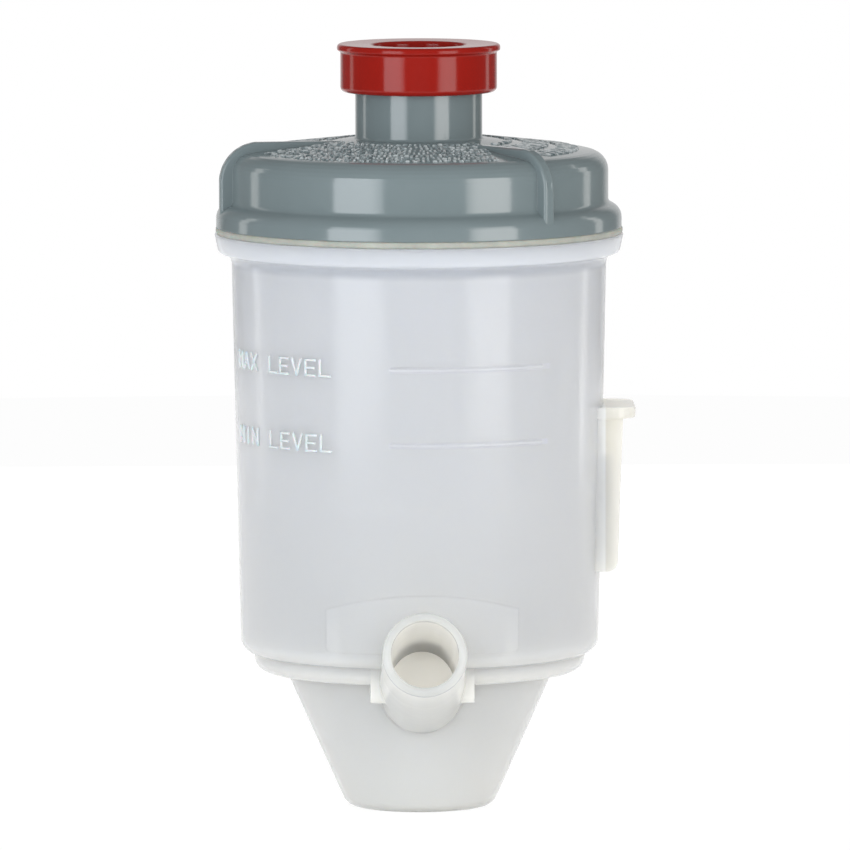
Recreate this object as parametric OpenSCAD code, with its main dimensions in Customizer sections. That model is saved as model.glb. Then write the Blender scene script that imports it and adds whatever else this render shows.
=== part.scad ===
// Steering fluid reservoir: a moulded tank with a cone sump and a tilted suction port, a lid welded
// to its rim, a pull-off cap with a seal, and a strainer and a baffle inside.
// Origin at the centre of the flat under the cone, +Z up, -Y the way the suction port points.

/* [Tank] */
// Outer radius of the tank wall just under the rim
tank_r = 39.3; // [32:0.1:48]
// Height of the rim, where the lid is welded on
tank_h = 120.8; // [100:0.1:148]
// Draft of the wall, in degrees a side
wall_draft = 1.2; // [0.5:0.1:2]
// Wall thickness of the tank
wall_t = 2; // [1.6:0.1:2.8]
// Radius of the flat foot, before its edge is rounded
foot_r = 15.3; // [13:0.2:19]
// Rounding of the foot's edge
foot_round = 3.2; // [1:0.1:4]
// Height of the cone, up to the shoulder
cone_h = 28.8; // [25:0.2:35]
// Width of the flat ring under the shoulder, outside the cone
ledge_w = 6.6; // [5:0.2:8]
// Height of the step between the shoulder and the wall
step_h = 3.7; // [2.8:0.1:5]
// Depth of that step
step_in = 2.8; // [2:0.1:4]
// Rounding of the shoulder's lower edge
ledge_round = 2.8; // [1:0.1:3]
// Rounding of the wall's lower edge
wall_round = 3.2; // [1:0.1:3.6]
// Rise of the wall's lower face from the step outwards
wall_rise = 0.8; // [0.6:0.1:1.2]

/* [Rim] */
// How far the rim stands out of the wall
rim_out = 2.8; // [2.5:0.1:4]
// Fillet between the rim and the wall
rim_fillet = 2; // [0.6:0.1:2.4]
// Height of the rim's outer face
rim_h = 3.8; // [3.4:0.1:7]
// Slope of the rim's outer face, as a widening towards its top
rim_flare = 0.8; // [0.2:0.1:1]
// Height of the weld tongue on the rim
tongue_h = 3; // [2:0.1:4]
// Thickness of the weld tongue
tongue_t = 1.8; // [1.4:0.1:2]
// Thickness of the melted plastic squeezed out between rim and lid
bead_t = 1.4; // [0.6:0.1:1.6]
// How far the rim stands proud of the weld and the lid
rim_proud = 0.4; // [0:0.05:0.6]

/* [Suction port] */
// Outer radius of the port, where the hose is clamped
port_r = 8.7; // [8:0.1:10.5]
// Draft of the port behind the clamped length, as extra radius at the tank's axis
port_root = 0.6; // [0.3:0.1:1]
// Length of the port that the clamp goes on
port_seat = 14; // [12:1:20]
// Radius of its bore
port_bore_r = 7; // [5:0.1:7.2]
// Upward tilt of the port
port_tilt = 16.5; // [10:0.2:20]
// Height at which the port's axis crosses the tank's axis
port_cross_z = 20.4; // [19:0.1:24]
// Reach of the port beyond the foot of the wall, measured level
port_free = 26.4; // [20:0.2:40]
// Rounding of the port's nose
port_nose = 1.2; // [0.5:0.1:1.4]
// Width of the saddle that joins the port to the shoulder
saddle_w = 21.6; // [19:0.2:24]
// Height of the saddle's top
saddle_top = 40.4; // [38:0.1:43]
// Height of the saddle's foot, on the cone
saddle_foot = 25.3; // [23:0.1:27]
// How far the saddle stands out of the wall and the shoulder
saddle_out = 0.25; // [0.1:0.05:0.6]
// Width of the mould's slide round the port, seen as a witness panel
panel_w = 40; // [36:1:46]
// Height of the panel's upper edge
panel_top = 48.3; // [46:0.1:52]
// Height of the panel's lower edge
panel_foot = 36; // [35:0.1:38]
// How far the panel stands out of the wall
panel_out = 0.18; // [0.1:0.02:0.3]

/* [Return port] */
// Outer radius of the return port, where the hose is clamped
return_r = 5.5; // [4.5:0.1:6]
// Length of the return port that the clamp goes on
return_seat = 20; // [14:1:28]
// How far the return port's root stands out behind that length
return_root = 0.3; // [0.1:0.1:0.5]
// Radius of its bore
return_bore_r = 3.6; // [3:0.1:4]
// Length of the return port outside the wall
return_free = 24; // [18:1:32]
// Height of the return port above the strainer
return_rise = 9; // [7:0.5:14]

/* [Bracket shoe] */
// Height of the shoe's lower end
shoe_foot = 50.2; // [48:0.1:54]
// Length of the shoe, up to its flange
shoe_len = 32.2; // [28:0.1:38]
// Width of the shoe
shoe_w = 20; // [18:0.5:24]
// How far the shoe stands out of the wall at its lower end
shoe_out = 3.4; // [3.2:0.1:5]
// Draft of the shoe's outer face, as extra depth at its top
shoe_draft = 1.2; // [0:0.1:1.8]
// Reach of the flange beyond the wall
flange_out = 6.7; // [6.5:0.1:9]
// Thickness of the flange
flange_t = 2.3; // [1.8:0.1:3]
// Thickness of the bracket's tongue that the pocket takes
bracket_t = 1.6; // [1.2:0.1:2]
// Width of that tongue
bracket_w = 14; // [10:0.5:15]
// Depth of the pocket
pocket_depth = 24; // [15:1:27]
// Play between the pocket and the tongue, each side
pocket_play = 0.15; // [0.1:0.05:0.3]

/* [Level marks] */
// Drop from the rim to the upper mark
upper_drop = 25.5; // [24:0.1:32]
// Drop from the rim to the lower mark
lower_drop = 41.2; // [36:0.1:50]
// Where the marks start, in degrees from the port towards +X
mark_start = -10; // [-20:1:0]
// Angle that each mark covers
mark_sweep = 50; // [30:1:60]
// Height of a mark
mark_h = 0.7; // [0.5:0.1:1.2]
// How far a mark stands out
mark_out = 0.4; // [0.2:0.1:0.6]

/* [Lid] */
// Wall thickness of the lid
lid_t = 2.2; // [1.8:0.1:2.6]
// How far the lid's flange stands out of its wall
lid_step = 2.8; // [2.4:0.1:3.4]
// Height of the flange at the lid's wall
lid_flange_h = 5.2; // [4.6:0.1:7]
// Height of the lid from its foot to the middle of the dome
lid_h = 18.5; // [16:0.1:22]
// Slope of the dome in degrees
dome_slope = 6.7; // [4:0.1:8]
// Rounding of the dome's edge
dome_round = 4; // [2:0.1:4.5]
// Angles of the drive ribs from the port towards +X
rib_angles = [39, -81, 162];
// Fillet between the flange and the lid's wall
flange_fillet = 1.2; // [0.4:0.1:1.6]
// Thickness of a rib
rib_t = 2.6; // [1.6:0.1:3]
// How far the ribs' tops lie below the middle of the dome
rib_drop = 0.4; // [0:0.1:1]
// Rounding of a rib's outer corner
rib_round = 8.4; // [5:0.1:9]
// Rounding of a rib's edges
rib_edge = 0.6; // [0.3:0.1:0.7]

/* [Neck and cap] */
// Outer radius of the filler neck
neck_r = 13.3; // [11:0.1:16.4]
// Wall thickness of the neck
neck_t = 2; // [1.6:0.1:2.4]
// Length of the neck above the dome
neck_h = 17.2; // [15:0.1:22]
// Rounding where the neck meets the dome
neck_fillet = 0.7; // [0.4:0.1:2.4]
// Height of the cap's side, lip included
cap_h = 10.1; // [8.6:0.1:11]
// Thickness of the cap's side
skirt_t = 2.7; // [2.2:0.1:4]
// How far the lip stands out of the cap's side
lip_out = 0.7; // [0.4:0.1:1]
// Height of the lip
lip_h = 1.3; // [1.2:0.1:2.6]
// Thickness of the cap's top
cap_t = 2.6; // [2.4:0.1:3.2]
// How much lower the top's inner edge lies than its outer edge
cap_dish = 0.2; // [0:0.05:0.4]
// Thickness of the plug's wall round the hollow in the cap's top
plug_t = 1.3; // [1.2:0.1:2.4]
// Depth of that hollow
hollow_depth = 8.6; // [6:0.1:9]
// Rounding of the hollow's edge
hollow_round = 0.8; // [0.4:0.1:1.2]
// Length of the plug below the cap's top
plug_h = 14.6; // [13:0.1:15]
// Gap between the cap's skirt and the neck
skirt_gap = 0.4; // [0.3:0.05:0.6]
// Gap between the plug and the neck
plug_gap = 0.35; // [0.3:0.05:0.5]
// Thickness of the seal ring's section
seal_d = 1.9; // [1.6:0.1:2.2]
// Running clearance between the seal ring and the neck
seal_gap = 0.08; // [0.05:0.01:0.1]

/* [Strainer and baffle] */
// Gap between the inner parts and the tank wall
inner_gap = 0.4; // [0.3:0.05:0.6]
// Number of seat ribs inside the tank
seat_count = 6; // [6:2:10]
// Thickness of the seat ribs
seat_t = 1.8; // [1.4:0.1:2.2]
// Height of the strainer frame
frame_h = 3; // [2.4:0.1:4]
// Width of the strainer frame's ring
frame_w = 3; // [2.5:0.1:4]
// Number of spokes in the strainer frame
spoke_count = 8; // [6:1:12]
// Thickness of the strainer cloth
mesh_t = 0.5; // [0.3:0.1:0.8]
// Thickness of the baffle plate
baffle_t = 1.6; // [1.2:0.1:2]
// Gap between the return port and the baffle plate
baffle_rise = 5; // [4:0.5:10]
// Radius of the holes in the baffle
baffle_hole_r = 2.2; // [1.5:0.1:2.6]

/* [Hidden] */
$fn = 96;
arc_steps = 6;
over = 1; // how far a cut runs past the faces that it opens

// Heights of the tank
step_z = cone_h + step_h;
bead_z = tank_h + bead_t;
function wall_r(z) = tank_r - (tank_h - rim_h - z) * tan(wall_draft);
function inside_r(z) = wall_r(z) - wall_t;
wall_foot_r = wall_r(step_z);
step_r = wall_foot_r - step_in;
cone_r = step_r - ledge_w;
cone_angle = atan((cone_r - foot_r) / cone_h);
cone_wall = wall_t / cos(cone_angle); // wall of the cone, measured level
rim_r = tank_r + rim_out + rim_flare;
flange_r = rim_r - rim_proud;
tongue_r = tank_r + 1.4;
sump_r = cone_r + wall_t * tan(cone_angle) - cone_wall;

// Suction port
port_reach = wall_foot_r + port_free;
port_len = port_reach / cos(port_tilt);
port_root_r = port_r + port_root;
hump_z = port_cross_z + inside_r(step_z) * tan(port_tilt) + port_root_r / cos(port_tilt);

// Inner parts, stacked from the seat ribs up
seat_z = hump_z + 1;
frame_r = inside_r(seat_z) - inner_gap;
frame_z = seat_z + frame_h;
return_z = frame_z + return_rise;
baffle_z = return_z + return_r + baffle_rise;
baffle_r = inside_r(baffle_z) - inner_gap;
catch_z = baffle_z + baffle_t + 0.1;
seat_w = 3;
leg_w = 7;
leg_t = 2;

// Lid and cap
lid_wall_r = flange_r - lid_step;
dome_top = bead_z + lid_h;
function dome_z(r) = dome_top - (r - neck_r) * tan(dome_slope);
rib_z = dome_top - rib_drop;
rib_r = flange_r - 0.2;
neck_in_r = neck_r - neck_t;
neck_top = dome_top + neck_h;
cap_top = neck_top + cap_t;
cap_foot = cap_top - cap_h;
cap_r = neck_r + skirt_gap + skirt_t;
plug_r = neck_in_r - plug_gap;
hollow_r = plug_r - plug_t;
plug_foot = cap_top - plug_h;
seal_z = plug_foot + 1.6;
seal_r = neck_in_r - seal_gap - seal_d / 2;

// Outlines: each corner is [x, y, radius], and a radius of 0 leaves it sharp
function unit(v) = v / norm(v);
function flat(p) = [p[0], p[1]];
function arc_points(c, r, from, turn) =
    [for (i = [0:arc_steps]) c + r * [cos(from + turn * i / arc_steps), sin(from + turn * i / arc_steps)]];
function wrapped(a) = a > 180 ? a - 360 : a < -180 ? a + 360 : a;
function corner(before, at, after) =
    let (u = unit(flat(before) - flat(at)), v = unit(flat(after) - flat(at)), half = acos(u * v) / 2,
         r = at[2], c = flat(at) + unit(u + v) * r / sin(half),
         p = flat(at) + u * r / tan(half) - c, q = flat(at) + v * r / tan(half) - c,
         from = atan2(p[1], p[0]))
    arc_points(c, r, from, wrapped(atan2(q[1], q[0]) - from));
function rounded(list) =
    [for (i = [0:len(list) - 1])
        let (before = list[(i + len(list) - 1) % len(list)], after = list[(i + 1) % len(list)])
        each (list[i][2] > 0 ? corner(before, list[i], after) : [flat(list[i])])];

// Turned solid from an outline of [radius, height, rounding]
module turned(list) {
    rotate_extrude() polygon(rounded(list));
}

// Turns a shape that points along +X to an angle from the port towards +X
module from_port(angle) {
    rotate([0, 0, angle - 90]) children();
}

// Places a shape drawn along +Z on the axis of the suction port
module on_port() {
    translate([0, 0, port_cross_z]) rotate([90 - port_tilt, 0, 0]) children();
}

module tank_outside() {
    turned([[0, 0, 0], [foot_r, 0, foot_round], [cone_r, cone_h, 0.6], [step_r, cone_h, ledge_round],
            [step_r, step_z, 0.2], [wall_foot_r, step_z + wall_rise, wall_round],
            [tank_r, tank_h - rim_h - 1, rim_fillet], [tank_r + rim_out, tank_h - rim_h, 1],
            [rim_r, tank_h, 0.3], [0, tank_h, 0]]);
}

module tank_inside() {
    floor_z = cone_h + wall_t + 0.2;
    turned([[0, wall_t, 0], [foot_r - wall_t, wall_t, 1], [sump_r, floor_z, 0.5],
            [step_r - wall_t, floor_z, 1], [step_r - wall_t, step_z + wall_t, 0.8],
            [inside_r(step_z), step_z + wall_t, 1.8], [inside_r(tank_h), tank_h + over, 0],
            [0, tank_h + over, 0]]);
}

// The clear way down into the cone, which the port's tube doesn't enter
module sump_way() {
    turned([[0, wall_t, 0], [foot_r - wall_t, wall_t, 1], [sump_r, cone_h + wall_t + 0.2, 0],
            [sump_r, seat_z + over, 0], [0, seat_z + over, 0]]);
}

module port_tube() {
    on_port() turned([[0, 0, 0], [port_root_r, 0, 0], [port_r, port_len - port_nose - port_seat, 0],
                      [port_r, port_len, port_nose], [0, port_len, 0]]);
}

module port_bore() {
    mouth = 0.3;
    on_port() turned([[0, 0, 0], [port_bore_r - 0.3, 0, 0], [port_bore_r, port_len - mouth, 0],
                      [port_bore_r + mouth, port_len, 0], [port_bore_r + mouth, port_len + over, 0],
                      [0, port_len + over, 0]]);
}

module return_tube() {
    reach = wall_r(return_z) + return_free;
    seat = reach - 1.2 - return_seat;
    translate([0, 0, return_z]) rotate([-90, 0, 0])
        turned([[0, 0, 0], [return_r + return_root, 0, 0], [return_r + return_root, seat - return_root, 0],
                [return_r, seat, 0], [return_r, reach, 1.2], [0, reach, 0]]);
}

module return_bore() {
    translate([0, 0, return_z]) rotate([-90, 0, 0])
        cylinder(r = return_bore_r, h = wall_r(return_z) + return_free + over);
}

// Block under and beside the port, from the cone up to the wall
module port_saddle() {
    intersection() {
        turned([[cone_r / 2, saddle_foot, 0], [step_r + saddle_out, saddle_foot, 1.5],
                [step_r + saddle_out, step_z + 1, 0], [wall_foot_r + saddle_out, step_z + 4, 0],
                [wall_r(saddle_top + 5) + saddle_out, saddle_top + 5, 0], [cone_r / 2, saddle_top + 5, 0]]);
        rotate([90, 0, 0]) linear_extrude(tank_r + 2 * rim_out)
            polygon(rounded([[-saddle_w / 2, saddle_foot - over, 0], [saddle_w / 2, saddle_foot - over, 0],
                             [saddle_w / 2, saddle_top, 2.5], [-saddle_w / 2, saddle_top, 2.5]]));
    }
}

// Witness of the mould's slide: a panel with an arched top, a hair proud of the wall
module port_panel() {
    arch_r = 62;
    intersection() {
        turned([[wall_foot_r - wall_t / 2, step_z + 1, 0], [wall_r(step_z + 1) + panel_out, step_z + 1, 0],
                [wall_r(panel_top + 5) + panel_out, panel_top + 5, 0], [wall_foot_r - wall_t / 2, panel_top + 5, 0]]);
        rotate([90, 0, 0]) linear_extrude(tank_r + 2 * rim_out) intersection() {
            polygon(rounded([[-panel_w / 2, panel_foot, 1], [panel_w / 2, panel_foot, 1],
                             [panel_w / 2, panel_top + 5, 4], [-panel_w / 2, panel_top + 5, 4]]));
            translate([0, panel_top - arch_r]) circle(r = arch_r);
        }
    }
}

// The shoe that hangs on the car's bracket, with the flange over it
module shoe() {
    top = shoe_foot + shoe_len;
    face = wall_r(shoe_foot) + shoe_out;
    root = inside_r(shoe_foot) * cos(asin(shoe_w / 2 / inside_r(shoe_foot))) + 0.2;
    tip = wall_r(top) + flange_out;
    translate([0, shoe_w / 2, 0]) rotate([90, 0, 0]) linear_extrude(shoe_w)
        polygon(rounded([[root, shoe_foot, 0], [face, shoe_foot, 2.2],
                         [face + shoe_draft, top + flange_t / 2, 0], [root, top + flange_t / 2, 0]]));
    intersection() {
        translate([0, 0, top]) linear_extrude(flange_t)
            polygon(rounded([[root, -shoe_w / 2 - 0.8, 0], [tip, -shoe_w / 2 - 0.8, 5],
                             [tip, shoe_w / 2 + 0.8, 5], [root, shoe_w / 2 + 0.8, 0]]));
        translate([0, shoe_w, 0]) rotate([90, 0, 0]) linear_extrude(2 * shoe_w)
            polygon(rounded([[root, top, 0], [tip, top, 0.8], [tip, top + flange_t, 0.6],
                             [root, top + flange_t, 0]]));
    }
}

// The pocket in the shoe, open downwards, that the bracket's tongue enters
module shoe_pocket() {
    inner = wall_r(shoe_foot) + 0.3;
    translate([inner, -bracket_w / 2 - pocket_play, shoe_foot - over])
        cube([bracket_t + 2 * pocket_play, bracket_w + 2 * pocket_play, pocket_depth + over]);
}

module level_mark(drop) {
    z = tank_h - drop;
    r = wall_r(z);
    from_port(mark_start) rotate_extrude(angle = mark_sweep)
        polygon(rounded([[r - wall_t / 2, z - mark_h / 2, 0], [r + mark_out, z - mark_h / 2, 0.2],
                         [r + mark_out, z + mark_h / 2, 0.2], [r - wall_t / 2, z + mark_h / 2, 0]]));
}

// Ribs inside the tank wall that carry the strainer
module seat_ribs() {
    low = step_z + wall_t / 2;
    for (i = [0:seat_count - 1]) rotate([0, 0, 360 / seat_count * i])
        translate([inside_r(seat_z) - seat_w, -seat_t / 2, low])
            cube([seat_w + wall_t / 2, seat_t, seat_z - low]);
}

// Low ring inside the wall that the baffle is pushed past
module baffle_catch() {
    r = inside_r(catch_z);
    turned([[r + wall_t / 2, catch_z, 0], [r - inner_gap - 0.4, catch_z + 0.2, 0],
            [r - inner_gap - 0.4, catch_z + 0.7, 0], [r + wall_t / 2, catch_z + 1.8, 0]]);
}

module weld_tongue() {
    turned([[tongue_r - tongue_t, tank_h - over, 0], [tongue_r, tank_h - over, 0],
            [tongue_r, tank_h + tongue_h, 0.4], [tongue_r - tongue_t, tank_h + tongue_h, 0.4]]);
}

module tank() color([0.89, 0.91, 0.90]) difference() {
    union() {
        difference() {
            union() {
                tank_outside();
                return_tube();
                shoe();
                port_panel();
                port_saddle();
                level_mark(upper_drop);
                level_mark(lower_drop);
            }
            tank_inside();
        }
        difference() {
            port_tube();
            sump_way();
        }
        seat_ribs();
        baffle_catch();
        weld_tongue();
    }
    port_bore();
    return_bore();
    shoe_pocket();
}

// Plate of one drive rib, with true rounds along its upper and outer edges
module drive_rib() {
    start = neck_r - neck_t / 2;
    low = bead_z + 2;
    bend = rib_round - rib_edge;
    half = rib_t / 2 - rib_edge;
    // the outline pulled in by some width, down to the middle of the lid's own wall
    module web(pull, thick) {
        rotate([90, 0, 0]) linear_extrude(thick, center = true)
            polygon(rounded([[start, rib_z - pull, 0], [rib_r - pull, rib_z - pull, rib_round - pull],
                             [rib_r - pull, low, 0], [lid_wall_r - lid_t / 2, low, 0],
                             [lid_wall_r - lid_t / 2, dome_z(lid_wall_r) - dome_round / 2, 0],
                             [start, min(dome_z(start) - lid_t / 2, rib_z - 1.1), 0]]));
    }
    web(rib_edge, rib_t);
    web(0, 2 * half);
    for (side = [-half, half]) translate([0, side, 0]) {
        translate([start, 0, rib_z - rib_edge]) rotate([0, 90, 0])
            cylinder(r = rib_edge, h = rib_r - rib_round - start);
        translate([rib_r - rib_edge, 0, low])
            cylinder(r = rib_edge, h = rib_z - rib_round - low);
        translate([rib_r - rib_round, 0, rib_z - rib_round]) rotate([90, 0, 0])
            rotate_extrude(angle = 90) translate([bend, 0]) circle(r = rib_edge);
    }
}

module lid_shell() {
    edge_z = dome_z(lid_wall_r);
    flange_z = bead_z + lid_flange_h;
    turned([[neck_r, neck_top, 0.4], [neck_r, dome_z(neck_r), neck_fillet], [lid_wall_r, edge_z, dome_round],
            [lid_wall_r, flange_z, flange_fillet], [flange_r, flange_z - 1.5, 3],
            [flange_r, bead_z, 0], [tongue_r + 0.1, bead_z, 0],
            [tongue_r + 0.1, tank_h + tongue_h, 0.3], [tongue_r - tongue_t - 0.1, tank_h + tongue_h, 0.3],
            [tongue_r - tongue_t - 0.1, bead_z, 0], [inside_r(tank_h) + 0.2, bead_z, 0.3],
            [lid_wall_r - lid_t, flange_z, 0], [lid_wall_r - lid_t, edge_z - lid_t, dome_round - lid_t],
            [neck_in_r, dome_z(neck_in_r) - lid_t, 1], [neck_in_r, neck_top, 0.6]]);
}

module lid() color([0.49, 0.56, 0.57]) {
    lid_shell();
    for (angle = rib_angles) from_port(angle) drive_rib();
}

module weld_bead() color([0.75, 0.73, 0.67]) {
    turned([[tongue_r + 0.1, tank_h, 0], [flange_r + 0.1, tank_h, 0.3],
            [flange_r + 0.1, bead_z, 0.4], [tongue_r + 0.1, bead_z, 0]]);
}

module cap() color([0.69, 0.14, 0.10]) difference() {
    floor_z = cap_top - hollow_depth;
    turned([[hollow_r, cap_top - cap_dish, hollow_round], [cap_r + lip_out, cap_top, 0.7],
            [cap_r + lip_out, cap_top - lip_h, 0.4], [cap_r, cap_top - lip_h - 0.4, 0.4],
            [cap_r, cap_foot, 1.1], [neck_r + skirt_gap, cap_foot, 0.3],
            [neck_r + skirt_gap, neck_top, 0.5], [plug_r, neck_top, 0.5],
            [plug_r, plug_foot, 0.5], [plug_r - 3.4, plug_foot, 0.3], [plug_r - 3.7, floor_z - 2, 0.8],
            [0, floor_z - 2, 0], [0, floor_z, 0], [hollow_r - 0.5, floor_z, 1.5]]);
    // groove for the seal ring
    turned([[seal_r - seal_d / 2, seal_z - seal_d / 2, 0], [plug_r + over, seal_z - seal_d / 2, 0],
            [plug_r + over, seal_z + seal_d / 2, 0], [seal_r - seal_d / 2, seal_z + seal_d / 2, 0]]);
}

module cap_seal() color([0.13, 0.13, 0.14]) translate([0, 0, seal_z])
    rotate_extrude() translate([seal_r, 0]) circle(r = seal_d / 2);

module strainer_frame() color([0.93, 0.92, 0.87]) {
    hub_r = 6;
    spoke_z = seat_z + mesh_t + 0.3;
    turned([[frame_r - frame_w, spoke_z, 0], [frame_r - frame_w / 2, spoke_z, 0],
            [frame_r - frame_w / 2, seat_z, 0.2], [frame_r, seat_z, 0.4], [frame_r, frame_z, 0.4],
            [frame_r - frame_w, frame_z, 0.4]]);
    turned([[0, spoke_z, 0], [hub_r, spoke_z, 0], [hub_r, frame_z, 0.6], [0, frame_z, 0]]);
    for (i = [0:spoke_count - 1]) rotate([0, 0, 360 / spoke_count * i])
        translate([hub_r - 1, -0.8, spoke_z]) cube([frame_r - frame_w - hub_r + 2, 1.6, frame_h - mesh_t - 0.9]);
}

module strainer_mesh() color([0.85, 0.85, 0.80])
    translate([0, 0, seat_z + 0.3]) cylinder(r = frame_r - frame_w / 2 - 0.1, h = mesh_t);

module baffle() color([0.90, 0.89, 0.84]) {
    difference() {
        translate([0, 0, baffle_z]) cylinder(r = baffle_r, h = baffle_t);
        // rings of holes, six more in each ring
        for (ring = [1:3]) for (i = [0:6 * ring - 1]) rotate([0, 0, 60 / ring * i])
            translate([ring * baffle_r / 4, 0, baffle_z - over])
                cylinder(r = baffle_hole_r, h = baffle_t + 2 * over);
    }
    // three legs that stand on the strainer frame's ring
    for (i = [0:2]) from_port(60 + 120 * i) translate([frame_r - leg_t - 0.4, -leg_w / 2, frame_z])
        cube([leg_t, leg_w, baffle_z - frame_z + baffle_t / 2]);
}

tank();
lid();
weld_bead();
cap();
cap_seal();
strainer_frame();
strainer_mesh();
baffle();
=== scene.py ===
# %% [markdown]
# # A power steering reservoir
# A milky plastic tank with a cone under it, a blue-grey lid welded on, and a red cap that pulls off.
# The CAD model gives the solids at their real size. This lesson gives them their finishes, adds the
# small raised marks that a mould leaves, and lights them like a part photographed for a catalogue.
# Everything is in metres, and the front, where the wide port points, is -Y.

import math
import random

import bmesh
import bpy
from mathutils import Matrix, Vector, noise
from mathutils.bvhtree import BVHTree


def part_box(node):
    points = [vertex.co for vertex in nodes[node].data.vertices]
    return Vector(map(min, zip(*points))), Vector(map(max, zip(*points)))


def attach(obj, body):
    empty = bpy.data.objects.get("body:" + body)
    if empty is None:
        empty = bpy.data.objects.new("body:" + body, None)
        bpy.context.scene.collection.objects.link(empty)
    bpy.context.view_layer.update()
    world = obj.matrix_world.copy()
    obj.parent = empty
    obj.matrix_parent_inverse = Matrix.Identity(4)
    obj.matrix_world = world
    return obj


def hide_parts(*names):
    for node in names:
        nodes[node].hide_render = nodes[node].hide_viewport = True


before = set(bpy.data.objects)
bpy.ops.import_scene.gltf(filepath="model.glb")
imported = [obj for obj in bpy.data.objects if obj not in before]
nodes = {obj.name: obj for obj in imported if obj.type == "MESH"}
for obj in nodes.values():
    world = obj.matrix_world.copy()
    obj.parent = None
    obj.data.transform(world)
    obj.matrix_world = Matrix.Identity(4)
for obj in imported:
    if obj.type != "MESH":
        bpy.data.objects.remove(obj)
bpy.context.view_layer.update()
MM = 0.001
print("CAD nodes:", sorted(nodes))

# %% [markdown]
# Later pieces sit on the tank and the lid, so their heights are read from the CAD nodes, and a ray
# finds the surface under each one. A ray works on any shape, where a formula would need
# to repeat the CAD model's sizes. outward() gives every direction by its angle from the front.

# %% Measure the tank and the lid
def outward(azimuth, elevation=0.0):
    """Unit vector at an angle from the front, -Y, towards +X, and above the horizon."""
    flat = math.cos(elevation)
    return Vector((math.sin(azimuth) * flat, -math.cos(azimuth) * flat, math.sin(elevation)))


def surface_of(node):
    """A search tree of a node's faces, for rays."""
    mesh = nodes[node].data
    return BVHTree.FromPolygons([v.co for v in mesh.vertices], [p.vertices for p in mesh.polygons])


tank_surface = surface_of("tank")
lid_surface = surface_of("lid")
bead_low, bead_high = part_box("weld_bead")
lid_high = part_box("lid")[1]
cap_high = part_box("cap")[1]
rim_z = bead_low.z
print("rim at", round(rim_z / MM, 1), "mm, cap top at", round(cap_high.z / MM, 1), "mm")

# %% [markdown]
# ## The camera
# The photograph was taken with a long lens from a little above the part. A long lens is a camera
# far away with a large focal length: level circles then look like flat ellipses of one shape. The
# camera also sits a degree to the left of the port, and leans by a tenth of a degree.

# %% Place the camera
IMAGE_PX = 850
MM_PER_PX = 0.21
CAMERA_DISTANCE = 2.5
CAMERA_AZIMUTH = math.radians(-1.0)
CAMERA_ELEVATION = math.radians(5.65)
CAMERA_ROLL = math.radians(-0.1)
AIM = Vector((1.20, 0, 80.2)) * MM

camera = bpy.data.objects.new("camera", bpy.data.cameras.new("camera"))
bpy.context.scene.collection.objects.link(camera)
bpy.context.scene.camera = camera
towards = outward(CAMERA_AZIMUTH, CAMERA_ELEVATION)
camera.location = AIM + towards * CAMERA_DISTANCE
camera.rotation_mode = "QUATERNION"
camera.rotation_quaternion = towards.to_track_quat("Z", "Y") @ Matrix.Rotation(CAMERA_ROLL, 3, "Z").to_quaternion()
camera.data.lens = camera.data.sensor_width * CAMERA_DISTANCE / (IMAGE_PX * MM_PER_PX * MM)
camera.data.clip_end = 50
print("focal length", round(camera.data.lens), "mm")

# %% [markdown]
# ## Writing shader maths as Python
# A Blender material is a network of nodes. Wiring sums by hand takes many lines, so this small class wraps
# one output socket and overloads the arithmetic operators: an expression adds its own Math
# nodes. Colours don't go through Math nodes, which would turn them grey, so they are mixed by mix().

# %% A socket that does arithmetic
class Wire:
    """An output socket of a node, with Python's operators as Math nodes."""

    def __init__(self, owner, socket):
        self.owner = owner
        self.socket = socket

    def maths(self, operation, first, second=0.0):
        return self.owner.node("Math", {"operation": operation}, {0: first, 1: second})

    def __add__(self, other):
        return self.maths("ADD", self, other)

    def __sub__(self, other):
        return self.maths("SUBTRACT", self, other)

    def __rsub__(self, other):
        return self.maths("SUBTRACT", other, self)

    def __mul__(self, other):
        return self.maths("MULTIPLY", self, other)

    def __truediv__(self, other):
        return self.maths("DIVIDE", self, other)

    __radd__ = __add__
    __rmul__ = __mul__

    def largest(self, other):
        return self.maths("MAXIMUM", self, other)

    def between(self, low, high):
        """0 below low, 1 above high, smooth in between."""
        return self.owner.node("MapRange", {"interpolation_type": "SMOOTHSTEP"},
                               {"Value": self, "From Min": low, "From Max": high})


# %% [markdown]
# A node tree gets one method for every other kind of node: it takes the type, the settings, and
# what goes into the sockets. The world and the materials share it. Finish is one material with a
# Principled shader, and adds the few patterns that plastics need: clouds, grain and relief.

# %% Node trees and finishes
class Tree:
    """A node tree with a single method that adds any node."""

    def __init__(self, tree):
        self.tree = tree

    def node(self, kind, settings, sockets, output=0):
        made = self.tree.nodes.new("ShaderNode" + kind)
        for key, value in settings.items():
            setattr(made, key, value)
        for key, value in sockets.items():
            self.feed(made.inputs[key], value)
        return Wire(self, made.outputs[output])

    def feed(self, socket, value):
        if isinstance(value, Wire):
            self.tree.links.new(value.socket, socket)
        else:
            socket.default_value = value

    def ray(self, *kinds):
        """1 for rays of these kinds, such as Camera or Glossy."""
        path = self.node("LightPath", {}, {}, f"Is {kinds[0]} Ray")
        for kind in kinds[1:]:
            path = path.largest(self.node("LightPath", {}, {}, f"Is {kind} Ray"))
        return path


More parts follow.
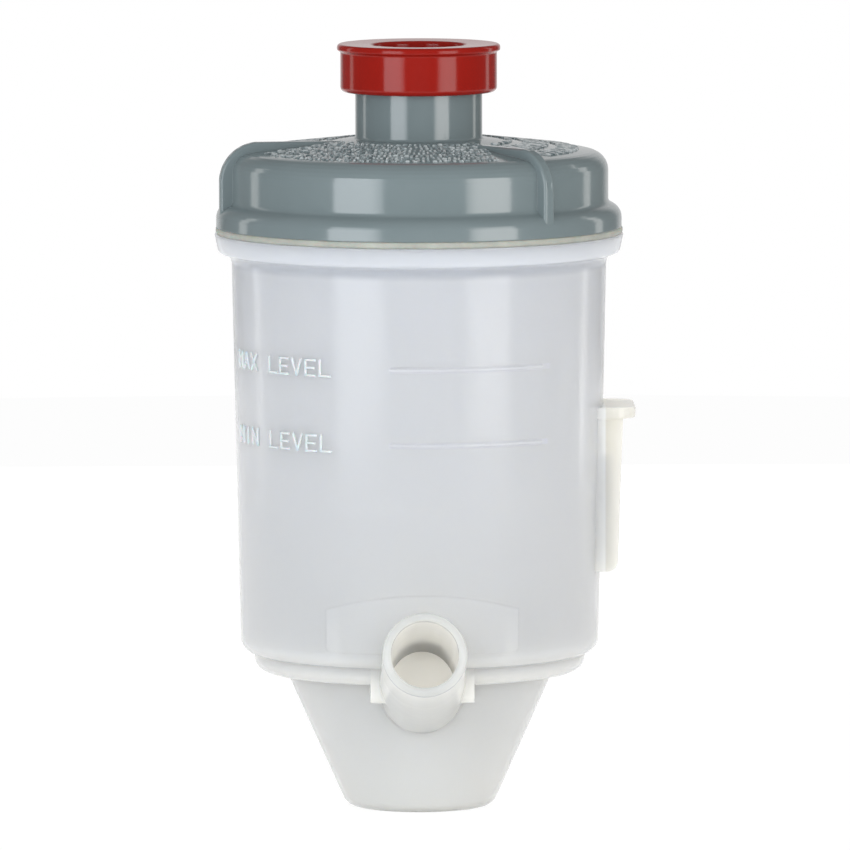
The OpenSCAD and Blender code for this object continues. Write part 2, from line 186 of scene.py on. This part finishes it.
class Finish(Tree):
    """One material with a Principled shader."""

    def __init__(self, name, **constants):
        self.material = bpy.data.materials.new(name)
        self.material.use_nodes = True
        super().__init__(self.material.node_tree)
        self.shader = self.tree.nodes["Principled BSDF"]
        for socket, value in constants.items():
            self.shader.inputs[socket.replace("_", " ")].default_value = value

    def set(self, socket, value):
        self.feed(self.shader.inputs[socket], value)

    def place(self):
        """The point on the object, in metres."""
        return self.node("TexCoord", {}, {}, "Object")

    def split(self, vector, axis):
        return self.node("SeparateXYZ", {}, {"Vector": vector}, axis)

    def noise(self, size, detail=2.0, stretch=(1, 1, 1)):
        """Smooth noise from 0 to 1, with features of about size metres."""
        moved = self.node("Mapping", {}, {"Vector": self.place(), "Scale": [s / size for s in stretch]})
        return self.node("TexNoise", {}, {"Vector": moved, "Scale": 1.0, "Detail": detail}, "Fac")

    def mix(self, share, first, second):
        """A colour between two colours."""
        return self.node("Mix", {"data_type": "RGBA"}, {"Factor": share, 6: first, 7: second}, 2)

    def bump(self, height, distance, strength=1.0, radius=0.0):
        """Surface relief. With a radius, sharp edges are rounded first."""
        sockets = {"Height": height, "Distance": distance, "Strength": strength}
        if radius:
            sockets["Normal"] = self.node("Bevel", {"samples": 4}, {"Radius": radius})
        self.set("Normal", self.node("Bump", {}, sockets))


def srgb(red, green, blue):
    """A colour read off a screen, 0 to 255, as the linear values that a shader takes."""
    def linear(c):
        c = c / 255
        return c / 12.92 if c <= 0.04045 else ((c + 0.055) / 1.055) ** 2.4
    return (linear(red), linear(green), linear(blue), 1)


# %% [markdown]
# ## The light
# Two upright softboxes stand left and right of the camera. Their bright stripes show on the lid, the
# neck and the cap, and a stripe at an angle a on a round wall needs a lamp at twice that angle.
# They stand close, at 0.6 m, because the drafted wall of the tank reflects a little downwards: only a close
# lamp is met above the floor, and the stripes then fade out half way down, as in the photograph.
# Two narrow ones stand behind for the thin stripes near the edges, and an even world fills the rest.

# %% Set up the softboxes
def fade(lamp, outer_side):
    """Dims the cloth of a softbox towards its top and its outer side, as real ones do."""
    lamp.use_nodes = True
    cloth = Tree(lamp.node_tree)
    spot = cloth.node("NewGeometry", {}, {}, "Parametric")
    across = cloth.node("SeparateXYZ", {}, {"Vector": spot}, "X")
    up = cloth.node("SeparateXYZ", {}, {"Vector": spot}, "Y")
    if outer_side < 0:
        across = 1 - across
    cloth.feed(lamp.node_tree.nodes["Emission"].inputs["Strength"], across.between(-0.25, 0.3) * up.between(-0.1, 0.12) * (1 - up).between(-0.1, 0.12))


def softbox(name, azimuth, width, height, distance, radiance, tint=(1, 1, 1), mirrored=True):
    """A rectangular lamp on the floor, facing the object. Radiance is its brightness in a mirror."""
    lamp = bpy.data.lights.new(name, "AREA")
    lamp.shape = "RECTANGLE"
    lamp.size, lamp.size_y = width, height
    lamp.energy = radiance * math.pi * width * height
    lamp.color = tint
    box = bpy.data.objects.new(name, lamp)
    bpy.context.scene.collection.objects.link(box)
    box.location = outward(math.radians(azimuth)) * distance + Vector((0, 0, height / 2 - 0.02))
    box.rotation_mode = "QUATERNION"
    box.rotation_quaternion = outward(math.radians(azimuth)).to_track_quat("Z", "Y")
    box.visible_camera = False
    box.visible_glossy = mirrored
    return box


LAMP_DISTANCE = 0.6
left = softbox("softbox_left", -37, 0.33, 0.42, LAMP_DISTANCE, 3.85, (0.93, 0.965, 1.0))
right = softbox("softbox_right", 41, 0.30, 0.42, LAMP_DISTANCE, 3.75, (1.0, 0.985, 0.965))
softbox("edge_light_left", -117, 0.09, 0.50, LAMP_DISTANCE, 1.4, (1.0, 0.985, 0.95))
softbox("edge_light_right", 120, 0.09, 0.50, LAMP_DISTANCE, 1.5, (1.0, 0.985, 0.95))
softbox("back_light", 180, 1.00, 0.60, LAMP_DISTANCE + 0.1, 2.5, (1.0, 0.985, 0.95), False)
softbox("front_light", 0, 0.50, 0.50, LAMP_DISTANCE + 0.3, 2.2, (0.88, 0.945, 1.0), False)
fade(left.data, -1)
fade(right.data, 1)
bpy.context.scene.view_settings.view_transform = "Standard"

# %% [markdown]
# ## The tank's plastic
# Natural nylon is milky: light goes in, scatters, and comes out a few millimetres away or on the
# other side of the wall. The Principled shader's subsurface does that, and a long scatter
# distance lets light through to the bore of the port. The colour is bluer under the rim and warmer
# towards the cone, partly a tint of the moulding and partly painted light. Painted light and shade
# also sit in the colour of the rim, the level lines, the mounting shoe, the bore and the port's nose.
# Fine grain, and flow marks drawn out along the wall, break up the gloss.

# %% Finish of the tank
PORT_TILT = math.radians(16.5)
PORT_CROSS_Z = 20.4 * MM
UPPER_DROP, LOWER_DROP = 25.5 * MM, 41.2 * MM


def tank_plastic():
    made = Finish("milky_nylon", Subsurface_Weight=0.9, Subsurface_Scale=0.020,
                  Subsurface_Radius=(1.0, 0.96, 0.86), IOR=1.5, Specular_IOR_Level=0.3)
    height = made.split(made.place(), "Z")
    # Bluer at the top and warmer low down: partly the moulding's tint, partly painted light.
    low = 1 - height.between(0.02, 0.085)
    high = height.between(0.075, 0.125)
    clouds = made.noise(0.030, 3.0)
    body = made.mix(low + (clouds - 0.5) * 0.3, srgb(250, 250, 243), srgb(251, 247, 233))
    body = made.mix(high, body, srgb(243, 245, 246))
    # Painted shade: the rim under the lid is painted darker and bluer.
    body = made.mix(height.between(0.1135, 0.1155), body, srgb(204, 208, 214))
    # Painted highlight: the level lines are painted white at the front.
    line_highlight = 0
    for drop in (UPPER_DROP, LOWER_DROP):
        off_line = height - (rim_z - drop)
        line_highlight = (1 - (off_line * off_line).between(0.0004 ** 2, 0.0007 ** 2)) + line_highlight
    ahead = (made.split(made.place(), "Y") * -1.0).between(0.0278, 0.0284) * made.split(made.place(), "X").between(-0.0072, -0.0066)
    body = made.mix(line_highlight * ahead, body, srgb(255, 255, 255))
    # Painted shade: the mounting shoe is painted darker and warmer.
    shoe_shade = made.split(made.place(), "X").between(0.0385, 0.0391) * (1 - height.between(0.087, 0.090))
    body = made.mix(shoe_shade, body, srgb(214, 210, 199))
    # Painted light: the inside of the port's bore is painted near white, for light that comes through the walls.
    forward, above = made.split(made.place(), "Y") * -1.0, height - PORT_CROSS_Z
    along = forward * math.cos(PORT_TILT) + above * math.sin(PORT_TILT)
    off_axis = above * math.cos(PORT_TILT) - forward * math.sin(PORT_TILT)
    sideways = made.split(made.place(), "X")
    bore_light = (1 - (sideways * sideways + off_axis * off_axis).between(0.0071 ** 2, 0.0074 ** 2)) * along.between(0.030, 0.032)
    body = made.mix(bore_light, body, srgb(254, 252, 245))
    # Painted shade: the port's nose, which faces the lamps, is painted darker grey.
    tip_shade = along.between(0.0640, 0.0653) * (1 - height.between(0.050, 0.055))
    made.set("Base Color", made.mix(tip_shade, body, srgb(181, 183, 182)))
    made.set("Roughness", made.noise(0.012, 2.0) * 0.05 + 0.10)
    grain = made.noise(0.0006, 2.0)
    flow = made.noise(0.005, 2.0, (1, 1, 0.2))
    made.bump(grain * 0.15 + flow, 0.00006, 0.4, 0.0005)
    return made.material


def raised_nylon():
    """The same plastic on a thin mark, where the light scatters in the wall below it."""
    made = Finish("raised_nylon", Subsurface_Weight=0.3, Subsurface_Scale=0.001, IOR=1.5, Specular_IOR_Level=0.2)
    made.set("Base Color", made.mix(made.noise(0.004, 2.0), srgb(205, 210, 212), srgb(213, 217, 220)))
    made.set("Roughness", made.noise(0.012, 2.0) * 0.06 + 0.2)
    return made.material


# %% [markdown]
# ## The lid and the cap
# Both are glossy mouldings. Their stripes are crisp, so the roughness is low, with faint level
# streaks that the polished mould left: noise squeezed along the height gives those. A real part's
# edges are never sharp, and the Bevel node rounds what the CAD model leaves sharp.

# %% Finish of the lid
def lid_plastic():
    made = Finish("grey_nylon", IOR=1.5, Specular_IOR_Level=0.7)
    clouds = made.noise(0.012, 3.0)
    made.set("Base Color", made.mix(clouds, srgb(107, 119, 121), srgb(115, 126, 128)))
    made.set("Roughness", made.noise(0.008, 2.0) * 0.05 + 0.09)
    streaks = made.noise(0.0005, 2.0, (0.05, 0.05, 1))
    made.bump(streaks * 0.25 + made.noise(0.006, 2.0), 0.00004, 0.35, 0.0003)
    return made.material


def grey_with_painted_glints():
    """The lid's plastic on the small marks, painted paler in speckles: painted glints."""
    made = Finish("grey_nylon_painted_glints", IOR=1.5, Specular_IOR_Level=0.7)
    # Painted glints: pale speckles in the colour of the marks.
    made.set("Base Color", made.mix(made.noise(0.0012, 2.0).between(0.4, 0.62), srgb(122, 133, 136), srgb(186, 192, 193)))
    made.set("Roughness", made.noise(0.004, 2.0) * 0.05 + 0.12)
    return made.material


# %% Finish of the cap
def cap_plastic():
    made = Finish("red_plastic", IOR=1.5, Specular_IOR_Level=0.3)
    clouds = made.noise(0.010, 2.0)
    made.set("Base Color", made.mix(clouds, srgb(136, 21, 13), srgb(144, 26, 17)))
    made.set("Roughness", made.noise(0.006, 2.0) * 0.05 + 0.10)
    streaks = made.noise(0.0005, 2.0, (0.05, 0.05, 1))
    made.bump(streaks * 0.25 + made.noise(0.004, 2.0), 0.00004, 0.35, 0.0003)
    return made.material


# %% [markdown]
# ## The melted plastic and the inner pieces
# The ring squeezed out of the weld is torn and dull, a mix of both plastics. The seal is
# dull black rubber, the strainer and the baffle are natural nylon, and the cloth is woven: two
# sets of bands, one across the other, give its threads.

# %% Finish of the weld
def weld_plastic():
    made = Finish("melted_flash", Roughness=0.5, Subsurface_Weight=0.3, Subsurface_Scale=0.002)
    made.set("Base Color", made.mix(made.noise(0.003, 3.0), srgb(140, 144, 138), srgb(180, 180, 170)))
    made.bump(made.noise(0.0008, 3.0), 0.0002, 0.7)
    return made.material


# %% Finishes of the inner pieces
def seal_rubber():
    made = Finish("seal_rubber", Specular_IOR_Level=0.35)
    made.set("Base Color", made.mix(made.noise(0.002, 2.0), srgb(28, 28, 30), srgb(40, 40, 42)))
    made.set("Roughness", made.noise(0.002, 2.0) * 0.15 + 0.45)
    made.bump(made.noise(0.0005, 2.0), 0.00003, 0.4)
    return made.material


def natural_nylon():
    made = Finish("natural_nylon", Subsurface_Weight=0.4, Subsurface_Scale=0.003)
    made.set("Base Color", made.mix(made.noise(0.008, 2.0), srgb(236, 233, 220), srgb(226, 222, 207)))
    made.set("Roughness", made.noise(0.004, 2.0) * 0.1 + 0.38)
    made.bump(made.noise(0.0006, 2.0), 0.00005, 0.4, 0.0003)
    return made.material


def woven_nylon():
    thread = 0.0004
    made = Finish("woven_nylon")
    across = made.node("TexWave", {"bands_direction": "X"}, {"Vector": made.place(), "Scale": 0.314 / thread})
    along = made.node("TexWave", {"bands_direction": "Y"}, {"Vector": made.place(), "Scale": 0.314 / thread})
    weave = across * along
    made.set("Base Color", made.mix(weave, srgb(170, 168, 158), srgb(224, 222, 212)))
    made.set("Roughness", made.noise(0.004, 2.0) * 0.1 + 0.55)
    made.bump(weave, 0.0001, 0.6)
    return made.material


finishes = {"tank": tank_plastic(), "lid": lid_plastic(), "weld_bead": weld_plastic(), "cap": cap_plastic(),
            "cap_seal": seal_rubber(), "strainer_frame": natural_nylon(), "strainer_mesh": woven_nylon(),
            "baffle": natural_nylon()}
for name, material in finishes.items():
    nodes[name].data.materials.clear()
    nodes[name].data.materials.append(material)
print("finishes:", sorted(m.name for m in finishes.values()))

# %% [markdown]
# ## Raised marks
# The dome carries fine raised marks, and so does the wall beside the level lines. Each mark
# is a low block with a chamfered top: a flat outline is drawn three times, sunk a little below the surface,
# at the surface's side and pulled in at the top. A function place(u, v, up) puts a point of
# the outline on the curved surface, so the same block works on the dome and on the wall.

# %% A low chamfered block on any surface
SUNK = 0.12 * MM


def raise_mark(mesh, place, outline, height, chamfer=0.12 * MM):
    """Adds one block. The outline is convex, in metres from its middle."""
    middle = Vector((sum(p[0] for p in outline), sum(p[1] for p in outline))) / len(outline)
    rings = []
    for inset, level in ((0.0, -SUNK), (0.0, height - chamfer), (chamfer, height)):
        ring = []
        for u, v in outline:
            spoke = Vector((u, v)) - middle
            share = max(0.2, 1 - inset / max(min(abs(spoke.x), abs(spoke.y)), inset * 1.5)) if inset else 1
            ring.append(mesh.verts.new(place(*(middle + spoke * share), level)))
        rings.append(ring)
    mesh.faces.new(rings[0])
    mesh.faces.new(rings[-1])
    count = len(outline)
    for low, high in zip(rings, rings[1:]):
        for i in range(count):
            mesh.faces.new((low[i], low[(i + 1) % count], high[(i + 1) % count], high[i]))


def finish_piece(mesh, name, body, material):
    """Turns the finished mesh into an object that rides on a body."""
    bmesh.ops.recalc_face_normals(mesh, faces=mesh.faces)
    data = bpy.data.meshes.new(name)
    mesh.to_mesh(data)
    mesh.free()
    piece = bpy.data.objects.new(name, data)
    bpy.context.scene.collection.objects.link(piece)
    data.materials.append(material)
    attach(piece, body)
    print(name, "has", sum(len(p.vertices) - 2 for p in data.polygons), "triangles")
    return piece


def box_outline(width, length, u=0.0, v=0.0):
    return [(u + x * width / 2, v + y * length / 2) for x, y in ((-1, -1), (1, -1), (1, 1), (-1, 1))]


# %% [markdown]
# ## The pattern on the dome
# In front of the neck the mould has seven rows of tiny raised bars and dots, and wider bars
# to the right and at the back. They catch the light as sparks, and their pale speckled colour adds painted glints.
# The pattern here is a plain one: the kind and the length of each mark are drawn at random, with a fixed seed.

# %% Rows of marks on the dome
def dome_place(angle, radius):
    """A place() for the dome at an angle from the port, u to the right and v inwards."""
    start = outward(angle) * radius
    start.z = lid_high.z
    hit, normal, _, _ = lid_surface.ray_cast(start, Vector((0, 0, -1)))
    right = Vector((math.cos(angle), math.sin(angle), 0))
    inwards = normal.cross(right)

    def place(u, v, up):
        return hit + right * u + inwards * v + normal * up
    return place


def dome_marks():
    draw = random.Random(7)
    mesh = bmesh.new()
    row_gap = 2.72 * MM
    for row in range(7):
        radius = 17.6 * MM + row * row_gap
        angle = math.radians(-72 + 2 * draw.random())
        last = math.radians((38, 37, 35, 33, 31, 29, 27)[row])
        while angle < last:
            kind = draw.choice(("bar", "bar", "half", "dash", "dots"))
            width = (0.95 if kind == "dash" else 0.5) * MM
            place = dome_place(angle + width / 2 / radius, radius + draw.uniform(-0.22, 0.22) * MM)
            if kind == "bar":
                length, lean = draw.choice((1.2, 1.5, 1.9)) * MM / 2, draw.choice((-0.25, 0, 0, 0.25)) * MM
                outline = [(-0.25 * MM - lean, -length), (0.25 * MM - lean, -length),
                           (0.25 * MM + lean, length), (-0.25 * MM + lean, length)]
                raise_mark(mesh, place, outline, 0.34 * MM)
            elif kind == "half":
                raise_mark(mesh, place, box_outline(0.5 * MM, 0.9 * MM, 0, draw.choice((-0.5, 0.5)) * MM), 0.34 * MM)
            elif kind == "dash":
                raise_mark(mesh, place, box_outline(0.95 * MM, 0.5 * MM, 0, draw.choice((-0.7, 0, 0.7)) * MM), 0.34 * MM)
            else:
                raise_mark(mesh, place, box_outline(0.5 * MM, 0.55 * MM, 0, -0.65 * MM), 0.34 * MM)
                raise_mark(mesh, place, box_outline(0.5 * MM, 0.55 * MM, 0, 0.65 * MM), 0.34 * MM)
            angle += (width + draw.uniform(0.4, 0.6) * MM) / radius
    for first, last in ((50, 152), (173, 268)):
        for radius, length in ((19.0, 1.2), (24.5, 5.4), (31.2, 4.6)):
            radius, length = radius * MM, length * MM
            angle = math.radians(first) + 2.0 * MM / radius
            while angle < math.radians(last) - 2.0 * MM / radius:
                place = dome_place(angle, radius)
                lean = draw.uniform(-0.5, 0.5) * MM
                outline = [(-0.6 * MM + lean, length / 2), (0.6 * MM + lean, length / 2),
                           (0.6 * MM - lean, -length / 2), (-0.6 * MM - lean, -length / 2)]
                raise_mark(mesh, place, outline, 0.34 * MM)
                angle += 2.6 * MM / radius
    return finish_piece(mesh, "dome_marks", "reservoir", grey_with_painted_glints())


dome_marks()

# %% [markdown]
# ## The words at the level lines
# Plain words stand beside the two lines on the wall, raised by a third of a millimetre.
# Letters made of straight strokes are enough: each stroke is one block, and its corners are put on the
# wall by a ray from outside, so the words follow the draft and the curve of the tank.

# %% Words on the wall
STROKES = {
    "M": [(0, 0, 0, 1), (0, 1, 0.5, 0.35), (0.5, 0.35, 1, 1), (1, 1, 1, 0)],
    "A": [(0, 0, 0.5, 1), (0.5, 1, 1, 0), (0.2, 0.35, 0.8, 0.35)],
    "X": [(0, 0, 1, 1), (0, 1, 1, 0)],
    "I": [(0.5, 0, 0.5, 1)],
    "N": [(0, 0, 0, 1), (0, 1, 1, 0), (1, 0, 1, 1)],
    "L": [(0, 1, 0, 0), (0, 0, 1, 0)],
    "E": [(0, 0, 0, 1), (0, 1, 1, 1), (0, 0.5, 0.85, 0.5), (0, 0, 1, 0)],
    "V": [(0, 1, 0.5, 0), (0.5, 0, 1, 1)],
    " ": [],
}
LETTER_W, LETTER_H, LETTER_PITCH, STROKE_W = 2.3 * MM, 3.2 * MM, 3.6 * MM, 0.5 * MM
WORDS_END = math.radians(-29.5)


def wall_point(angle, z, up):
    """A point above the tank's wall, seen from the front left."""
    hit, _, _, _ = tank_surface.ray_cast(outward(angle) * 0.1 + Vector((0, 0, z)), -outward(angle))
    return hit + outward(angle) * up


def level_words(name, words, middle_z):
    mesh = bmesh.new()
    radius = math.hypot(*wall_point(WORDS_END, middle_z, 0).xy)

    def place(u, v, up):
        return wall_point(WORDS_END + u / radius, middle_z + v, up)

    for count, letter in enumerate(words):
        left = (count - len(words) + 1) * LETTER_PITCH - LETTER_W
        for order, (x1, y1, x2, y2) in enumerate(STROKES[letter]):
            start = Vector((left + x1 * LETTER_W, (y1 - 0.5) * LETTER_H))
            end = Vector((left + x2 * LETTER_W, (y2 - 0.5) * LETTER_H))
            along = (end - start).normalized()
            side = Vector((-along.y, along.x)) * STROKE_W / 2
            start, end = start - along * STROKE_W / 2, end + along * STROKE_W / 2
            outline = [tuple(start - side), tuple(end - side), tuple(end + side), tuple(start + side)]
            raise_mark(mesh, place, outline, (0.32 + 0.01 * order) * MM)
    return finish_piece(mesh, name, "reservoir", raised)


raised = raised_nylon()
level_words("upper_level_words", "MAX LEVEL", rim_z - UPPER_DROP)
level_words("lower_level_words", "MIN LEVEL", rim_z - LOWER_DROP)

# %% [markdown]
# ## The flash of the weld
# The lid is spun on the rim until both melt, and a ring of melted plastic is squeezed out. It is
# uneven all the way round, so it is a ring whose edge moves in and out with smooth noise, with a
# small drop at the left. It takes the place of the CAD model's even ring.

# %% A ring with an uneven edge
def weld_flash():
    mesh = bmesh.new()
    steps = 480
    inner = min(math.hypot(v.co.x, v.co.y) for v in nodes["weld_bead"].data.vertices)
    outer = bead_high.x
    height = bead_high.z - bead_low.z
    profile = ((0.0, 0.0, 0.0), (0.94, 0.0, 0.0), (1.0, 0.18, 0.7), (1.0, 0.5, 1.0), (1.0, 0.8, 0.7),
               (0.92, 1.0, 0.0), (0.0, 1.0, 0.0))
    rings = []
    for step in range(steps):
        angle = 2 * math.pi * step / steps
        way = outward(angle)
        slow = noise.noise(way * 9)
        fast = noise.noise(way * 42)
        drop = math.exp(-((math.remainder(angle - math.radians(-86), 2 * math.pi) / 0.035) ** 2))
        edge = outer - 0.14 * MM + (0.16 * slow + 0.14 * fast) * MM + 0.12 * drop * MM
        ring = []
        for reach, share, bulge in profile:
            tilt = 0.1 * noise.noise(way * 25 + Vector((0, 0, share * 3))) * bulge * MM
            radius = inner + (edge - inner) * reach + 0.1 * bulge * MM
            radius = min(radius + tilt, outer + 0.24 * MM)
            ring.append(mesh.verts.new(way * radius + Vector((0, 0, bead_low.z + height * share))))
        rings.append(ring)
    for first, second in zip(rings, rings[1:] + rings[:1]):
        for i in range(len(profile)):
            j = (i + 1) % len(profile)
            mesh.faces.new((first[i], second[i], second[j], first[j])).smooth = True
    piece = finish_piece(mesh, "weld_flash", "reservoir", finishes["weld_bead"])
    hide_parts("weld_bead")
    return piece


weld_flash()

# %% [markdown]
# ## The floor and the background
# The catalogue background is plain white. The floor and the world answer camera rays with white of
# their own, so that it doesn't depend on the lamps, and the floor keeps a share of real shading for
# the soft shadow.

# %% Make the floor and the white background
FLOOR_RADIUS = 0.9
WORLD_STRENGTH = 0.6
ROOM_STRENGTH = 0.15


def white_floor():
    made = Finish("floor", Roughness=0.9, Specular_IOR_Level=0.1, Base_Color=(0.9, 0.9, 0.9, 1))
    glow = made.node("Emission", {}, {"Color": (1, 1, 1, 1), "Strength": 1.03})
    seen = made.ray("Camera", "Glossy", "Transmission")
    both = made.node("MixShader", {}, {0: seen * 0.9, 1: Wire(made, made.shader.outputs[0]), 2: glow})
    made.tree.links.new(both.socket, made.tree.nodes["Material Output"].inputs["Surface"])
    return made.material


bpy.ops.mesh.primitive_circle_add(vertices=96, radius=FLOOR_RADIUS, fill_type="NGON", location=(0, 0, -0.0001))
floor = bpy.context.object
floor.name = "floor"
floor.data.materials.append(white_floor())

world = bpy.data.worlds.new("studio")
bpy.context.scene.world = world
world.use_nodes = True
sky = Tree(world.node_tree)
backdrop = world.node_tree.nodes["Background"]
backdrop.inputs["Color"].default_value = (1, 1, 1, 1)
way = sky.node("TexCoord", {}, {}, "Generated")
behind = sky.node("SeparateXYZ", {}, {"Vector": way}, "Y").between(0.80, 0.97)
mirrored = sky.ray("Glossy")
seen = sky.ray("Camera", "Transmission").largest(mirrored * behind * 0.7)
even = WORLD_STRENGTH - mirrored * (WORLD_STRENGTH - ROOM_STRENGTH)
sky.feed(backdrop.inputs["Strength"], even.largest(seen))
print("floor radius", FLOOR_RADIUS, "m, world strength", WORLD_STRENGTH)
